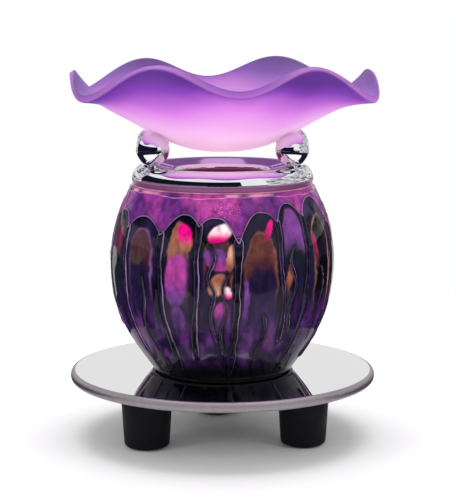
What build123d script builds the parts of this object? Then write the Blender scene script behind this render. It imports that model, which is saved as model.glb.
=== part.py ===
from build123d import *
import os
from math import acos, asin, cos, degrees, radians, sin, sqrt, tan

# Electric wax warmer: a touch lamp in an art glass body, with a loose glass dish on four balls.
# Millimetres. The origin is on the floor under the middle of the plate, +Z is up, -Y is the front.
# Angles are in degrees, counted from +X towards +Y.

# Clearances that several fits share
slip = 0.1
air_gap = 0.3
overrun = 2.0

# Feet
foot_circle_radius = 43.9
feet_turn = 3.5
foot_height = 27.0
foot_top_radius = 12.6
foot_bottom_radius = 10.9
foot_bottom_round = 2.2
foot_top_round = 0.5
tread_radius = 7.6
tread_thickness = 1.5
tread_proud = 0.6
foot_screw_grip = 8.6
foot_screw_radius = 1.9
foot_screw_head_radius = 3.5
foot_screw_head_height = 2.4
foot_screw_play = 0.6

# Steel disc, foam pad and mirror plate
disc_thickness = 1.2
disc_margin = 1.5
pad_thickness = 0.5
pad_inset = 3.0
pad_opening_radius = 31.0
plate_radius = 75.0
plate_thickness = 5.0
plate_edge_round = 2.1
plate_hole_clearance = 0.6

# Art glass body: outline as shares of its height and its largest radius
body_radius = 54.2
body_height = 90.2
body_wall = 3.2
body_rim_round = 1.1
body_height_shares = (0.0, 0.172, 0.3725, 0.54, 0.738, 0.869, 1.0)
body_radius_shares = (0.631, 0.823, 0.961, 1.0, 0.978, 0.917, 0.8265)
foot_gasket_thickness = 0.8
top_gasket_thickness = 0.6
gasket_width = 1.8

# Collar: a spun ring with a round shoulder, a sloping top and a rolled lip round its opening
collar_inset = 0.6
collar_height = 9.3
collar_shoulder_radius = 6.4
collar_crown_radius = 18.0
collar_slope = 12.0
collar_lip_radius = 2.0
collar_opening_margin = 1.0
collar_sheet = 1.4
collar_boss_wall = 1.0
collar_boss_drop = 2.0
rod_boss_depth = 5.6

# Ball posts
post_outset = 0.5
ball_radius = 8.0
neck_radius = 2.4
neck_height = 0.6
neck_seat_depth = 0.8
post_stud_radius = 1.5
post_stud_proud = 0.7
post_nut_turn = 30

# Dish: a round bowl that opens into a rim of six waves, drawn higher in front and at the back
dish_bowl_radius = 70.2
dish_bowl_reach = 37.2
dish_wall = 3.6
dish_rim_radius = 76.0
dish_rim_height = 34.0
dish_flat_radius = 5.0
wave_count = 6
wave_turn = 5.5
wave_reach = 1.9
wave_height = 6.8
saddle_height = 2.7
rim_slope = 30.0
rim_slope_swing = 26.0
bowl_pull = 55.0
rim_pull = 58.0
points_per_wave = 8

# Frame inside the body
stem_radius = 5.0
stem_bore_radius = 3.9
stem_length = 41.3
stem_proud = 0.6
rod_plate_thickness = 2.0
rod_plate_gap = 1.0
tie_rod_radius = 1.5
tie_rod_edge = 1.2
tie_rod_engagement = 4.6
small_nut_flats = 5.5
small_nut_height = 2.4
stem_nut_flats = 14.0
stem_nut_height = 2.6
washer_thickness = 0.8
washer_radius = 8.6
shield_radius = 24.0
shield_thickness = 1.0

# Control housing under the plate
housing_radius = 27.0
housing_height = 10.6
housing_wall = 1.8
housing_roof = 1.6
cover_thickness = 1.4
cover_gap = 0.2
pillar_circle_radius = 20.5
pillar_radius = 3.6
pillar_tip_radius = 2.2
housing_screw_radius = 1.1
housing_screw_depth = 6.0
housing_screw_head_radius = 2.0
housing_screw_head_height = 0.9

# Control board and its parts
board_thickness = 1.2
board_lift = 1.2
board_hole_radius = 9.8
board_edge_gap = 0.6
board_notch_width = 16.0
board_notch_start = 11.0
triac_width = 10.0
triac_depth = 8.0
triac_height = 3.6
triac_circle_radius = 16.0
triac_tab_thickness = 0.8
triac_tab_depth = 4.0
triac_hole_radius = 1.0
triac_chamfer = 0.4
capacitor_width = 4.4
capacitor_depth = 7.0
capacitor_height = 4.4
capacitor_offset = 8.4
capacitor_round = 0.7
chip_width = 5.0
chip_depth = 3.6
chip_height = 1.5
chip_circle_radius = 22.2
chip_chamfer = 0.3
terminal_width = 10.0
terminal_depth = 8.0
terminal_height = 4.4
terminal_circle_radius = 15.6
terminal_screw_radius = 1.5
terminal_screw_depth = 1.0

# Cord inlet
cord_bore_radius = 2.4
cord_drop = 5.4
grommet_neck_radius = 3.1
grommet_flange_radius = 3.7
grommet_flange_thickness = 1.4
clamp_circle_radius = 20.5
clamp_length = 14.2
clamp_width = 5.0
clamp_thickness = 1.5
clamp_round = 1.6
clamp_screw_offset = 5.0
clamp_post_radius = 1.9
clamp_post_height = 4.6
clamp_screw_radius = 0.9
clamp_screw_depth = 3.4
clamp_head_radius = 1.7
clamp_head_height = 1.1

# Leads
lead_radius = 0.75
lead_offset = 1.6
lead_lift = 1.0
lead_reach = 2.0
lead_drop_reach = 3.2
lead_entry = 1.4
lead_rise = 1.0
lead_spread_height = 2.5
tag_thickness = 0.5
tag_radius = 7.6
tag_tongue_width = 2.6
tag_tongue_length = 11.6
touch_wire_radius = 0.6

# Lamp holder on its bracket
bracket_thickness = 1.2
bracket_width = 12.0
bracket_leg_offset = 8.4
bracket_foot_length = 6.4
bracket_height = 7.4
holder_length = 30.0
holder_width = 14.0
holder_height = 12.0
holder_round = 3.0
pin_spacing = 8.0
contact_radius = 1.8
contact_rise = 2.0
contact_floor = 0.8
holder_screw_offset = 11.8
holder_screw_radius = 1.5
holder_screw_head_radius = 2.8
holder_screw_head_height = 2.0
holder_screw_sink = 2.6

# Bulb: a clear capsule with a flat pinch and two pins
bulb_radius = 6.5
bulb_wall = 0.9
bulb_height = 34.0
pinch_height = 8.0
pinch_width = 11.4
pinch_depth = 3.4
pinch_round = 0.85
bulb_tip_radius = 1.2
bulb_shoulder_round = 3.0
bulb_floor = 1.6
pin_radius = 0.5
pin_play = 0.06
pin_length = 9.0
pin_embedded = 1.6
foil_width = 2.0
foil_thickness = 0.3
foil_height = 4.6
filament_radius = 0.7
filament_width = 6.8
filament_height_share = 0.62
filament_leg_radius = 0.3

# Levels, from the floor up
foot_top = tread_proud + foot_height
disc_top = foot_top + disc_thickness
plate_bottom = disc_top + pad_thickness
plate_top = plate_bottom + plate_thickness
body_bottom = plate_top + foot_gasket_thickness
body_top = body_bottom + body_height
collar_bottom = body_top + top_gasket_thickness
collar_top = collar_bottom + collar_height
ball_level = collar_top + neck_height + ball_radius

# Levels in the housing, from its roof down
roof_bottom = foot_top - housing_roof
lower_washer_bottom = roof_bottom - washer_thickness
tag_bottom = lower_washer_bottom - tag_thickness
lower_nut_bottom = tag_bottom - stem_nut_height
stem_bottom = lower_nut_bottom - stem_proud
housing_bottom = foot_top - housing_height
cover_top = housing_bottom + cover_thickness
board_bottom = cover_top + board_lift
board_top = board_bottom + board_thickness
cord_level = foot_top - cord_drop
lead_level = (cover_top + stem_bottom) / 2

# Levels on the stem, from its upper end down
stem_top = stem_bottom + stem_length
bracket_nut_bottom = stem_top - stem_proud - stem_nut_height
bracket_bottom = bracket_nut_bottom - bracket_thickness
shield_bottom = bracket_bottom - shield_thickness
shield_nut_bottom = shield_bottom - stem_nut_height
holder_bottom = bracket_bottom + bracket_height
holder_top = holder_bottom + holder_height
contact_bottom = holder_bottom + contact_rise
bulb_bottom = holder_top + air_gap
bulb_top = bulb_bottom + bulb_height
foil_bottom = bulb_bottom + pin_embedded
foil_top = foil_bottom + foil_height
filament_level = bulb_bottom + filament_height_share * bulb_height

# Radii that follow from the two ends of the glass body
body_foot_radius = body_radius * body_radius_shares[0]
body_rim_radius = body_radius * body_radius_shares[-1]
gasket_outer_radius = body_foot_radius - body_rim_round
gasket_inner_radius = gasket_outer_radius - gasket_width
rod_plate_radius = gasket_inner_radius - rod_plate_gap
tie_rod_circle_radius = rod_plate_radius - tie_rod_edge - tie_rod_radius
rod_boss_radius = tie_rod_radius + slip + collar_boss_wall
collar_radius = body_rim_radius - collar_inset
crown_radius = collar_radius - collar_shoulder_radius
post_circle_radius = crown_radius + post_outset
collar_opening_radius = tie_rod_circle_radius - rod_boss_radius - collar_opening_margin

# The dish stands an air gap above the balls
dish_contact_reach = dish_bowl_radius + ball_radius + air_gap
dish_bottom = ball_level + sqrt(dish_contact_reach ** 2 - post_circle_radius ** 2) - dish_bowl_radius

# Radii under the plate
stem_hole_radius = stem_radius + slip
disc_radius = foot_circle_radius + foot_top_radius + disc_margin
housing_inner_radius = housing_radius - housing_wall
board_radius = housing_inner_radius - board_edge_gap

# Directions
foot_angles = {"front_left": 210 + feet_turn, "front_right": 330 + feet_turn, "rear": 90 + feet_turn}
post_angles = {"left": 210, "right": 330, "rear_right": 25, "rear_left": 155}
rod_angles = (30, 150, 270)
cord_angle = 30 + feet_turn
pillar_angles = (cord_angle + 60, cord_angle + 180, cord_angle + 300)
lamp_angle = cord_angle + 120
triac_angle = cord_angle + 240


def at(angle, radius=0.0, level=0.0):
    """A place at a direction, a distance from the axis and a height, with its X pointing outward."""
    return Rot(0, 0, angle) * Pos(radius, 0, level)


def rod(radius, bottom, top):
    return Pos(0, 0, bottom) * Cylinder(radius, top - bottom, align=(Align.CENTER, Align.CENTER, Align.MIN))


def ring(outer_radius, inner_radius, bottom, top):
    return rod(outer_radius, bottom, top) - rod(inner_radius, bottom - overrun, top + overrun)


def block(depth, width, bottom, top):
    """A block centred on the axis, with its depth along X and its width along Y."""
    return Pos(0, 0, bottom) * Box(depth, width, top - bottom, align=(Align.CENTER, Align.CENTER, Align.MIN))


def hex_nut(flats, thread_radius, bottom, top):
    outline = RegularPolygon(flats / 2, 6, major_radius=False) - Circle(thread_radius + slip)
    return Pos(0, 0, bottom) * extrude(outline, top - bottom)


def screw(head_radius, head_height, shank_radius, seat, tip):
    """A socket screw: its head lies against the seat and its shank runs to the tip, up or down."""
    socket_share = 0.5
    way = 1 if tip > seat else -1
    head_end = seat - way * head_height
    socket_floor = seat - way * head_height * socket_share
    head = rod(head_radius, min(seat, head_end), max(seat, head_end))
    hexagon = RegularPolygon(head_radius * socket_share, 6)
    socket = Pos(0, 0, min(socket_floor, head_end)) * extrude(hexagon, head_height * socket_share)
    return head - socket + rod(shank_radius, min(seat, tip), max(seat, tip))


def turned(outline):
    """A solid of revolution from an outline in radius and height."""
    return revolve(Plane.XZ * outline, Axis.Z)


def bend_radii(points):
    """The radius of each bend: 0.45 of its shorter run over the tangent of half the turn."""
    run_share = 0.45
    places = [Vector(*point) for point in points]
    radii = []
    for before, corner, after in zip(places, places[1:], places[2:]):
        half_turn = radians((corner - before).get_angle(after - corner)) / 2
        radii.append(run_share * min((corner - before).length, (after - corner).length) / tan(half_turn))
    return radii


def wire_along(points, radius):
    path = FilletPolyline(*points, radius=bend_radii(points))
    return sweep(Plane(path @ 0, z_dir=path % 0) * Circle(radius), path)


def group(solids):
    return Compound(children=list(solids))


def save(node, shape):
    export_step(shape, os.path.join("parts", node + ".step"))


def foot():
    """A tapered foot on the axis, with a recess for its tread and a deep seat for its screw."""
    seat = foot_top - foot_screw_grip
    centred = (Align.CENTER, Align.CENTER, Align.MIN)
    body = Pos(0, 0, tread_proud) * Cone(foot_bottom_radius, foot_top_radius, foot_height, align=centred)
    body = fillet(body.edges().filter_by(GeomType.CIRCLE).sort_by(Axis.Z)[0], foot_bottom_round)
    body = fillet(body.edges().filter_by(GeomType.CIRCLE).sort_by(Axis.Z)[-1], foot_top_round)
    body -= rod(tread_radius + slip, tread_proud - overrun, tread_thickness)
    body -= rod(foot_screw_head_radius + foot_screw_play, tread_proud - overrun, seat)
    return body - rod(foot_screw_radius + slip, seat - overrun, foot_top + overrun)


def tread():
    return rod(tread_radius, 0, tread_thickness)


def foot_screw():
    seat = foot_top - foot_screw_grip
    return screw(foot_screw_head_radius, foot_screw_head_height, foot_screw_radius, seat, disc_top - slip)


def base_disc():
    disc = ring(disc_radius, stem_hole_radius, foot_top, disc_top)
    for angle in foot_angles.values():
        hole = rod(foot_screw_radius + slip, foot_top - overrun, disc_top + overrun)
        disc -= at(angle, foot_circle_radius) * hole
    return disc


def mirror_plate():
    disc = rod(plate_radius, plate_bottom, plate_top)
    disc = fillet(disc.edges().filter_by(GeomType.CIRCLE), plate_edge_round)
    return disc - rod(stem_radius + plate_hole_clearance, plate_bottom - overrun, plate_top + overrun)


def body_line(inset):
    """The glass body's outline, from foot to rim, moved inward by the inset."""
    heights = [body_bottom + share * body_height for share in body_height_shares]
    radii = [body_radius * share - inset for share in body_radius_shares]
    return Spline(*zip(radii, heights))


def glass_body():
    outer = body_line(0)
    inner = body_line(body_wall)
    outline = outer + Line(outer @ 1, inner @ 1) + inner + Line(inner @ 0, outer @ 0)
    shell = turned(make_face(outline))
    rims = shell.edges().filter_by(GeomType.CIRCLE)
    return fillet(rims, body_rim_round)


def shoulder_radius_at(level):
    """Radius of the outside of the collar's shoulder at a height."""
    rise = level - (collar_top - collar_shoulder_radius)
    return crown_radius + sqrt(collar_shoulder_radius ** 2 - rise ** 2)


def slope_level_at(radius):
    """Height of the collar's sloping top at a radius inside its crown."""
    crown_end = crown_radius - collar_crown_radius * sin(radians(collar_slope))
    crown_drop = collar_crown_radius * (1 - cos(radians(collar_slope)))
    return collar_top - crown_drop - (crown_end - radius) * tan(radians(collar_slope))


def collar_line():
    """The outside of the collar, from its lower edge over the crown to the lip of its opening."""
    edge_radius = shoulder_radius_at(collar_bottom)
    tuck = degrees(acos((edge_radius - crown_radius) / collar_shoulder_radius))
    shoulder_centre = (crown_radius, collar_top - collar_shoulder_radius)
    shoulder = CenterArc(shoulder_centre, collar_shoulder_radius, -tuck, 90 + tuck)
    crown_centre = (crown_radius, collar_top - collar_crown_radius)
    crown = CenterArc(crown_centre, collar_crown_radius, 90, collar_slope)
    lip_start = collar_opening_radius + collar_lip_radius * (1 - sin(radians(collar_slope)))
    slope = Line(crown @ 1, (lip_start, slope_level_at(lip_start)))
    lip_level = slope_level_at(lip_start) - collar_lip_radius * cos(radians(collar_slope))
    lip_centre = (collar_opening_radius + collar_lip_radius, lip_level)
    lip = CenterArc(lip_centre, collar_lip_radius, 90 + collar_slope, 90 - collar_slope)
    return Wire(shoulder.edges() + crown.edges() + slope.edges() + lip.edges())


def collar_ring():
    sheet = make_face(collar_line().offset_2d(collar_sheet, side=Side.LEFT, closed=True))
    collar = turned(sheet)
    seat = collar_top - neck_seat_depth
    boss_bottom = collar_top - collar_sheet - collar_boss_drop
    for angle in post_angles.values():
        place = at(angle, post_circle_radius)
        collar += place * rod(post_stud_radius + slip + collar_boss_wall, boss_bottom, seat - slip)
        collar -= place * rod(neck_radius + slip, seat, collar_top + overrun)
        collar -= place * rod(post_stud_radius + slip, boss_bottom - overrun, seat + overrun)
    for angle in rod_angles:
        place = at(angle, tie_rod_circle_radius)
        collar += place * rod(rod_boss_radius, rod_boss_bottom, rod_boss_bottom + rod_boss_depth)
        collar -= place * rod(tie_rod_radius + slip, rod_boss_bottom - overrun, tie_rod_top + slip)
    return collar


def ball_post():
    """A ball on its neck, with the stud that goes down through the collar."""
    seat = collar_top - neck_seat_depth
    tip = collar_top - collar_sheet - collar_boss_drop - small_nut_height - post_stud_proud
    ball = Pos(0, 0, ball_level) * Sphere(ball_radius)
    return ball + rod(neck_radius, seat, ball_level) + rod(post_stud_radius, tip, seat)


def post_nut():
    top = collar_top - collar_sheet - collar_boss_drop
    return Rot(0, 0, post_nut_turn) * hex_nut(small_nut_flats, post_stud_radius, top - small_nut_height, top)


def tie_rod():
    return rod(tie_rod_radius, plate_top + slip, tie_rod_top)


def rod_nut():
    bottom = plate_top + rod_plate_thickness
    return hex_nut(small_nut_flats, tie_rod_radius, bottom, bottom + small_nut_height)


def rod_plate():
    disc = ring(rod_plate_radius, stem_hole_radius, plate_top, plate_top + rod_plate_thickness)
    for angle in rod_angles:
        hole = rod(tie_rod_radius + slip, plate_top - overrun, plate_top + rod_plate_thickness + overrun)
        disc -= at(angle, tie_rod_circle_radius) * hole
    return disc


def dish_outline(share, angle):
    """Radius and height of the dish's outside. A share of -1 is the flat, 0 the bowl's end, 1 the rim."""
    bowl_slope = asin(dish_bowl_reach / dish_bowl_radius)
    if share <= 0:
        flat_slope = asin(dish_flat_radius / dish_bowl_radius)
        slope = bowl_slope + (bowl_slope - flat_slope) * share
        return dish_bowl_radius * sin(slope), dish_bottom + dish_bowl_radius * (1 - cos(slope))
    wave = cos(radians(wave_count * (angle - wave_turn)))
    rim_angle = radians(rim_slope + rim_slope_swing * wave)
    rim_radius = dish_rim_radius - wave_reach * wave
    rim_level = dish_rim_height + wave_height * wave - saddle_height * cos(radians(2 * angle))
    bowl_level = dish_bowl_radius * (1 - cos(bowl_slope))
    leave = share ** 3 - 2 * share ** 2 + share
    arrive = share ** 3 - share ** 2
    end = 3 * share ** 2 - 2 * share ** 3
    radius = (1 - end) * dish_bowl_reach + end * rim_radius
    radius += leave * bowl_pull * cos(bowl_slope) + arrive * rim_pull * cos(rim_angle)
    level = (1 - end) * bowl_level + end * rim_level
    level += leave * bowl_pull * sin(bowl_slope) + arrive * rim_pull * sin(rim_angle)
    return radius, dish_bottom + level


def dish_point(share, angle, depth):
    """A point of the dish at a depth in its wall, measured square to the outside."""
    step_share = 0.001
    step_angle = 0.01

    def outside(point_share, point_angle):
        radius, level = dish_outline(point_share, point_angle)
        return Vector(radius * cos(radians(point_angle)), radius * sin(radians(point_angle)), level)

    here = outside(share, angle)
    along = here - outside(share - step_share, angle)
    around = outside(share, angle + step_angle) - here
    return here + along.cross(around).normalized() * depth


def dish_contour(share, depth):
    """A closed line round the dish, at a share of the way out and a depth in its wall."""
    count = points_per_wave * wave_count
    places = [dish_point(share, 360 * index / count, depth) for index in range(count)]
    return Edge.make_spline(places, periodic=True, parameters=[index / count for index in range(count + 1)])


def dish():
    shares = (-1, -0.66, -0.33, 0, 0.12, 0.25, 0.38, 0.5, 0.62, 0.75, 0.88, 1)
    outside = [dish_contour(share, 0) for share in shares]
    inside = [dish_contour(share, dish_wall) for share in shares]
    faces = Shell.make_loft([Wire([line]) for line in outside]).faces()
    faces += Shell.make_loft([Wire([line]) for line in inside]).faces()
    faces += [Face.make_surface_from_curves(outside[-1], inside[-1])]
    faces += [Face(Wire([outside[0]])), Face(Wire([inside[0]]))]
    return Solid(Shell(faces))


def control_housing():
    """A shallow cup, open below, with pillars for the board and cover and posts for the cord clamp."""
    cup = ring(housing_radius, housing_inner_radius, housing_bottom, foot_top)
    cup += ring(housing_radius - housing_wall / 2, stem_hole_radius, roof_bottom, foot_top)
    for angle in pillar_angles:
        pillar = rod(pillar_radius, board_top, foot_top - housing_roof / 2)
        pillar += rod(pillar_tip_radius, cover_top, board_top)
        pillar -= rod(housing_screw_radius, cover_top - overrun, cover_top + housing_screw_depth)
        cup += at(angle, pillar_circle_radius) * pillar
    for side in (-1, 1):
        post = rod(clamp_post_radius, roof_bottom - clamp_post_height, foot_top - housing_roof / 2)
        place = at(cord_angle) * Pos(clamp_circle_radius, side * clamp_screw_offset, 0)
        cup += place * post
        screw_bottom = roof_bottom - clamp_post_height
        cup -= place * rod(clamp_screw_radius, screw_bottom - overrun, screw_bottom + clamp_screw_depth)
    bore = Rot(0, 90, 0) * Cylinder(grommet_neck_radius + slip, 2 * housing_wall + 2 * overrun)
    return cup - at(cord_angle, housing_radius, cord_level) * bore


def housing_cover():
    cover = rod(housing_inner_radius - cover_gap, housing_bottom, cover_top)
    for angle in pillar_angles:
        place = at(angle, pillar_circle_radius)
        cover -= place * rod(housing_screw_radius + slip, housing_bottom - overrun, cover_top + overrun)
        head_seat = housing_bottom + housing_screw_head_height
        cover -= place * rod(housing_screw_head_radius + slip, housing_bottom - overrun, head_seat)
    return cover


def housing_screw():
    seat = housing_bottom + housing_screw_head_height
    tip = cover_top + housing_screw_depth - slip
    return screw(housing_screw_head_radius, housing_screw_head_height, housing_screw_radius, seat, tip)


def control_board():
    """A round board with a hole for the stem nut and a notch that leaves the cord clamp free."""
    board = ring(board_radius, board_hole_radius, board_bottom, board_top)
    notch_length = board_radius - board_notch_start + overrun
    notch = block(notch_length, board_notch_width, board_bottom - overrun, board_top + overrun)
    board -= at(cord_angle, board_notch_start + notch_length / 2) * notch
    for angle in pillar_angles:
        hole = rod(pillar_tip_radius + slip, board_bottom - overrun, board_top + overrun)
        board -= at(angle, pillar_circle_radius) * hole
    return board


def board_triac():
    body = block(triac_depth, triac_width, board_top, board_top + triac_height)
    body = chamfer(body.edges().group_by(Axis.Z)[-1], triac_chamfer)
    tab = block(triac_tab_depth, triac_width, board_top, board_top + triac_tab_thickness)
    tab -= rod(triac_hole_radius, board_top - overrun, board_top + triac_tab_thickness + overrun)
    tab_place = Pos((triac_depth + triac_tab_depth) / 2, 0, 0)
    return at(triac_angle, triac_circle_radius) * (body + tab_place * tab)


def board_capacitor(side):
    body = block(capacitor_depth, capacitor_width, board_top, board_top + capacitor_height)
    body = fillet(body.edges().filter_by(Axis.Z), capacitor_round)
    return at(triac_angle) * Pos(triac_circle_radius, side * capacitor_offset, 0) * body


def touch_chip():
    body = block(chip_depth, chip_width, board_top, board_top + chip_height)
    return at(lamp_angle, chip_circle_radius) * chamfer(body.edges().group_by(Axis.Z)[-1], chip_chamfer)


def terminal_block():
    """A two-way terminal with a screw over each way and a wire hole in its inner face."""
    body = block(terminal_depth, terminal_width, board_top, board_top + terminal_height)
    for side in (-1, 1):
        well_bottom = board_top + terminal_height - terminal_screw_depth
        well = rod(terminal_screw_radius, well_bottom, board_top + terminal_height + overrun)
        body -= Pos(0, side * terminal_width / 4, 0) * well
        hole = Rot(0, 90, 0) * Cylinder(lead_radius + slip, 2 * lead_entry)
        body -= Pos(-terminal_depth / 2, side * lead_offset, board_top + lead_lift) * hole
    return at(lamp_angle, terminal_circle_radius) * body


def cord_grommet():
    """A rubber bush in the housing's wall, with a flange on each side of it and the cord's bore."""
    inner_face = sqrt(housing_inner_radius ** 2 - grommet_flange_radius ** 2)
    start = inner_face - grommet_flange_thickness
    end = housing_radius + grommet_flange_thickness
    bush = rod(grommet_neck_radius, start, end)
    bush += rod(grommet_flange_radius, start, inner_face)
    bush += rod(grommet_flange_radius, housing_radius, end)
    bush -= rod(cord_bore_radius, start - overrun, end + overrun)
    return at(cord_angle, 0, cord_level) * Rot(0, 90, 0) * bush


def cord_clamp():
    top = roof_bottom - clamp_post_height
    bar = block(clamp_width, clamp_length, top - clamp_thickness, top)
    bar = fillet(bar.edges().filter_by(Axis.Z), clamp_round)
    for side in (-1, 1):
        hole = rod(clamp_screw_radius + slip, top - clamp_thickness - overrun, top + overrun)
        bar -= Pos(0, side * clamp_screw_offset, 0) * hole
    return at(cord_angle, clamp_circle_radius) * bar


def clamp_screw(side):
    top = roof_bottom - clamp_post_height
    tip = top + clamp_screw_depth - slip
    pin = screw(clamp_head_radius, clamp_head_height, clamp_screw_radius, top - clamp_thickness, tip)
    return at(cord_angle) * Pos(clamp_circle_radius, side * clamp_screw_offset, 0) * pin


def touch_lead():
    """A ring tag under the lower stem nut, with a tongue and a wire down to the board."""
    tag_top = tag_bottom + tag_thickness
    tag = rod(tag_radius, tag_bottom, tag_top)
    tag += Pos(tag_tongue_length / 2, 0, 0) * block(tag_tongue_length, tag_tongue_width, tag_bottom, tag_top)
    tag -= rod(stem_hole_radius, tag_bottom - overrun, tag_top + overrun)
    wire_place = tag_tongue_length - touch_wire_radius
    tag += Pos(wire_place, 0, 0) * rod(touch_wire_radius, board_top, tag_top)
    return at(triac_angle) * tag


def lamp_lead(side):
    """A lead from the terminal, under the stem's lower end and up its bore to a holder contact."""
    offset = side * lead_offset
    terminal_face = terminal_circle_radius - terminal_depth / 2
    bend = board_hole_radius - lead_reach
    points = [
        (terminal_face + lead_entry, offset, board_top + lead_lift),
        (bend, offset, board_top + lead_lift),
        (bend - lead_drop_reach, offset, lead_level),
        (0, offset, lead_level),
        (0, offset, holder_bottom - lead_rise - lead_spread_height),
        (0, side * pin_spacing / 2, holder_bottom - lead_rise),
        (0, side * pin_spacing / 2, contact_bottom),
    ]
    print("lamp lead bends", [round(radius, 1) for radius in bend_radii(points)])
    return at(lamp_angle) * wire_along(points, lead_radius)


def lamp_stem():
    return ring(stem_radius, stem_bore_radius, stem_bottom, stem_top)


def stem_nut(bottom):
    return hex_nut(stem_nut_flats, stem_radius, bottom, bottom + stem_nut_height)


def stem_washer(bottom):
    return ring(washer_radius, stem_hole_radius, bottom, bottom + washer_thickness)


def heat_shield():
    return ring(shield_radius, stem_hole_radius, shield_bottom, bracket_bottom)


def holder_bracket():
    """A strip bent up at both ends, with a foot on each leg that the lamp holder stands on."""
    leg_outside = bracket_leg_offset + bracket_thickness / 2
    leg_inside = bracket_leg_offset - bracket_thickness / 2
    shelf_bottom = holder_bottom - bracket_thickness
    strip = block(bracket_width, 2 * leg_outside, bracket_bottom, bracket_bottom + bracket_thickness)
    for side in (-1, 1):
        leg = block(bracket_width, bracket_thickness, bracket_bottom, holder_bottom)
        strip += Pos(0, side * bracket_leg_offset, 0) * leg
        shelf = block(bracket_width, bracket_foot_length, shelf_bottom, holder_bottom)
        strip += Pos(0, side * (leg_inside + bracket_foot_length / 2), 0) * shelf
        hole = rod(holder_screw_radius + slip, shelf_bottom - overrun, holder_bottom + overrun)
        strip -= Pos(0, side * holder_screw_offset, 0) * hole
    strip -= rod(stem_hole_radius, bracket_bottom - overrun, bracket_bottom + bracket_thickness + overrun)
    return at(lamp_angle) * strip


def lamp_holder():
    body = block(holder_width, holder_length, holder_bottom, holder_top)
    body = fillet(body.edges().filter_by(Axis.Z), holder_round)
    head_seat = holder_top - holder_screw_sink
    for side in (-1, 1):
        way = rod(contact_radius + slip, holder_bottom - overrun, holder_top + overrun)
        body -= Pos(0, side * pin_spacing / 2, 0) * way
        place = Pos(0, side * holder_screw_offset, 0)
        body -= place * rod(holder_screw_radius + slip, holder_bottom - overrun, holder_top + overrun)
        body -= place * rod(holder_screw_head_radius + slip, head_seat, holder_top + overrun)
    return at(lamp_angle) * body


def holder_screw(side):
    seat = holder_top - holder_screw_sink
    tip = holder_bottom - bracket_thickness
    pin = screw(holder_screw_head_radius, holder_screw_head_height, holder_screw_radius, seat, tip)
    return at(lamp_angle) * Pos(0, side * holder_screw_offset, 0) * pin


def holder_contact(side):
    """A brass socket that the lead is crimped to below and that takes a bulb pin from above."""
    socket = rod(contact_radius, contact_bottom, holder_top - slip)
    socket -= rod(pin_radius + pin_play, contact_bottom + contact_floor, holder_top + overrun)
    return at(lamp_angle) * Pos(0, side * pin_spacing / 2, 0) * socket


def bulb_pin(side):
    return Pos(0, side * pin_spacing / 2, 0) * rod(pin_radius, bulb_bottom - pin_length, foil_bottom)


def bulb_foil(side):
    return Pos(0, side * pin_spacing / 2, 0) * block(foil_thickness, foil_width, foil_bottom, foil_top)


def bulb_filament():
    """A coiled bar between two legs that come up from the foils."""
    coil = Pos(0, 0, filament_level) * Rot(90, 0, 0) * Cylinder(filament_radius, filament_width)
    for side in (-1, 1):
        leg = rod(filament_leg_radius, foil_top, filament_level)
        coil += Pos(0, side * (filament_width / 2 - filament_leg_radius), 0) * leg
    return coil


def bulb_glass():
    """A clear capsule with a domed end and its tip, drawn flat below round the foils and pins."""
    dome_level = bulb_top - bulb_radius
    capsule_bottom = bulb_bottom + pinch_height - bulb_floor
    capsule = rod(bulb_radius, capsule_bottom, dome_level)
    capsule = fillet(capsule.edges().filter_by(GeomType.CIRCLE).sort_by(Axis.Z)[0], bulb_shoulder_round)
    capsule += Pos(0, 0, dome_level) * Sphere(bulb_radius)
    capsule += Pos(0, 0, bulb_top - bulb_wall / 2) * Sphere(bulb_tip_radius)
    pinch = block(pinch_depth, pinch_width, bulb_bottom, capsule_bottom + bulb_floor)
    capsule += fillet(pinch.edges().filter_by(Axis.Z), pinch_round)
    hollow_radius = bulb_radius - bulb_wall
    hollow = rod(hollow_radius, capsule_bottom + bulb_floor, dome_level)
    hollow_round = bulb_shoulder_round - bulb_wall
    hollow = fillet(hollow.edges().filter_by(GeomType.CIRCLE).sort_by(Axis.Z)[0], hollow_round)
    hollow += Pos(0, 0, dome_level) * Sphere(hollow_radius)
    glass = capsule - hollow - bulb_filament()
    for side in (-1, 1):
        glass = glass - bulb_foil(side) - bulb_pin(side)
    return glass


# Levels of the tie rods in their bosses
rod_boss_bottom = slope_level_at(tie_rod_circle_radius) - collar_sheet / 2 - rod_boss_depth
tie_rod_top = rod_boss_bottom + tie_rod_engagement

os.makedirs("parts", exist_ok=True)

# Base: feet, disc, pad and plate
for name, angle in foot_angles.items():
    save("foot_" + name, at(angle, foot_circle_radius) * foot())
save("foot_treads", group(at(angle, foot_circle_radius) * tread() for angle in foot_angles.values()))
save("foot_screws", group(at(angle, foot_circle_radius) * foot_screw() for angle in foot_angles.values()))
save("base_disc", base_disc())
save("plate_pad", ring(disc_radius - pad_inset, pad_opening_radius, disc_top, plate_bottom))
save("mirror_plate", mirror_plate())

# Control housing
save("control_housing", control_housing())
save("housing_cover", housing_cover())
save("housing_screws", group(at(angle, pillar_circle_radius) * housing_screw() for angle in pillar_angles))
save("control_board", control_board())
save("board_triac", board_triac())
save("board_capacitors", group(board_capacitor(side) for side in (-1, 1)))
save("touch_chip", touch_chip())
save("terminal_block", terminal_block())
save("cord_grommet", cord_grommet())
save("cord_clamp", cord_clamp())
save("clamp_screws", group(clamp_screw(side) for side in (-1, 1)))
save("touch_lead", touch_lead())

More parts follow.
